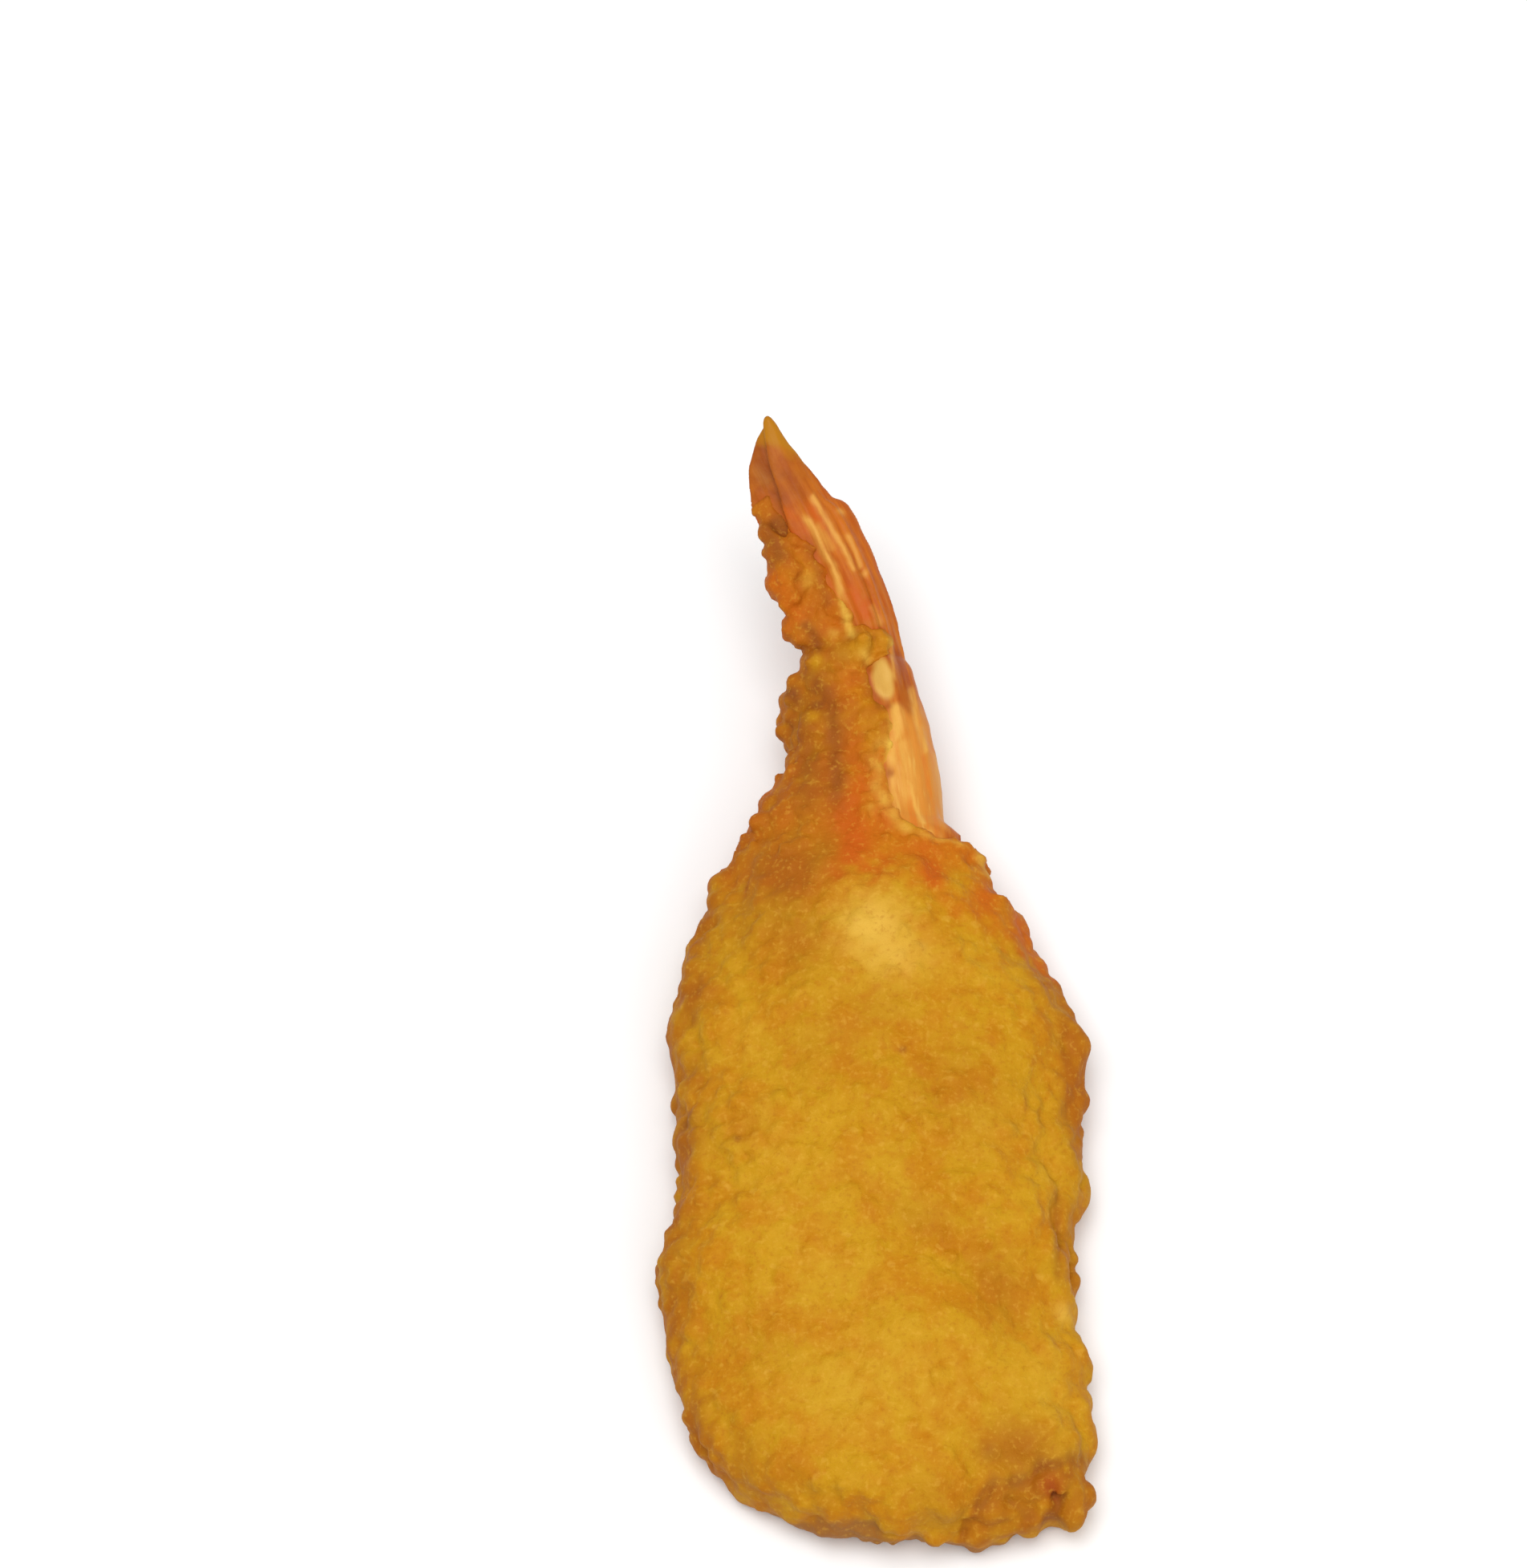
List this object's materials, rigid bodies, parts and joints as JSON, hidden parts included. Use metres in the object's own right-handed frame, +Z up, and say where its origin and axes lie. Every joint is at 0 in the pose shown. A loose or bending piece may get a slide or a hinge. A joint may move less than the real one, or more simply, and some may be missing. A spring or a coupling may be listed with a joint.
{
  "type": "butterfly shrimp",
  "caption": "Fried butterfly shrimp in a fine golden crumb coating, spread flat, with its bare tail fan left on as a handle.",
  "frame": {"origin": "centre of the shrimp's bounding box, on the plane of the flat underside it rests on", "axes": "+Y from the blunt front end to the tip of the tail, +X to the right as seen with the front end nearest, +Z up"},
  "size_m": [0.0416, 0.1098, 0.0236],
  "materials": {
    "crumb_coating": "satin"
  },
  "bodies": {
    "root": {"butterfly_shrimp": "crumb_coating"}
  },
  "joints": []
}
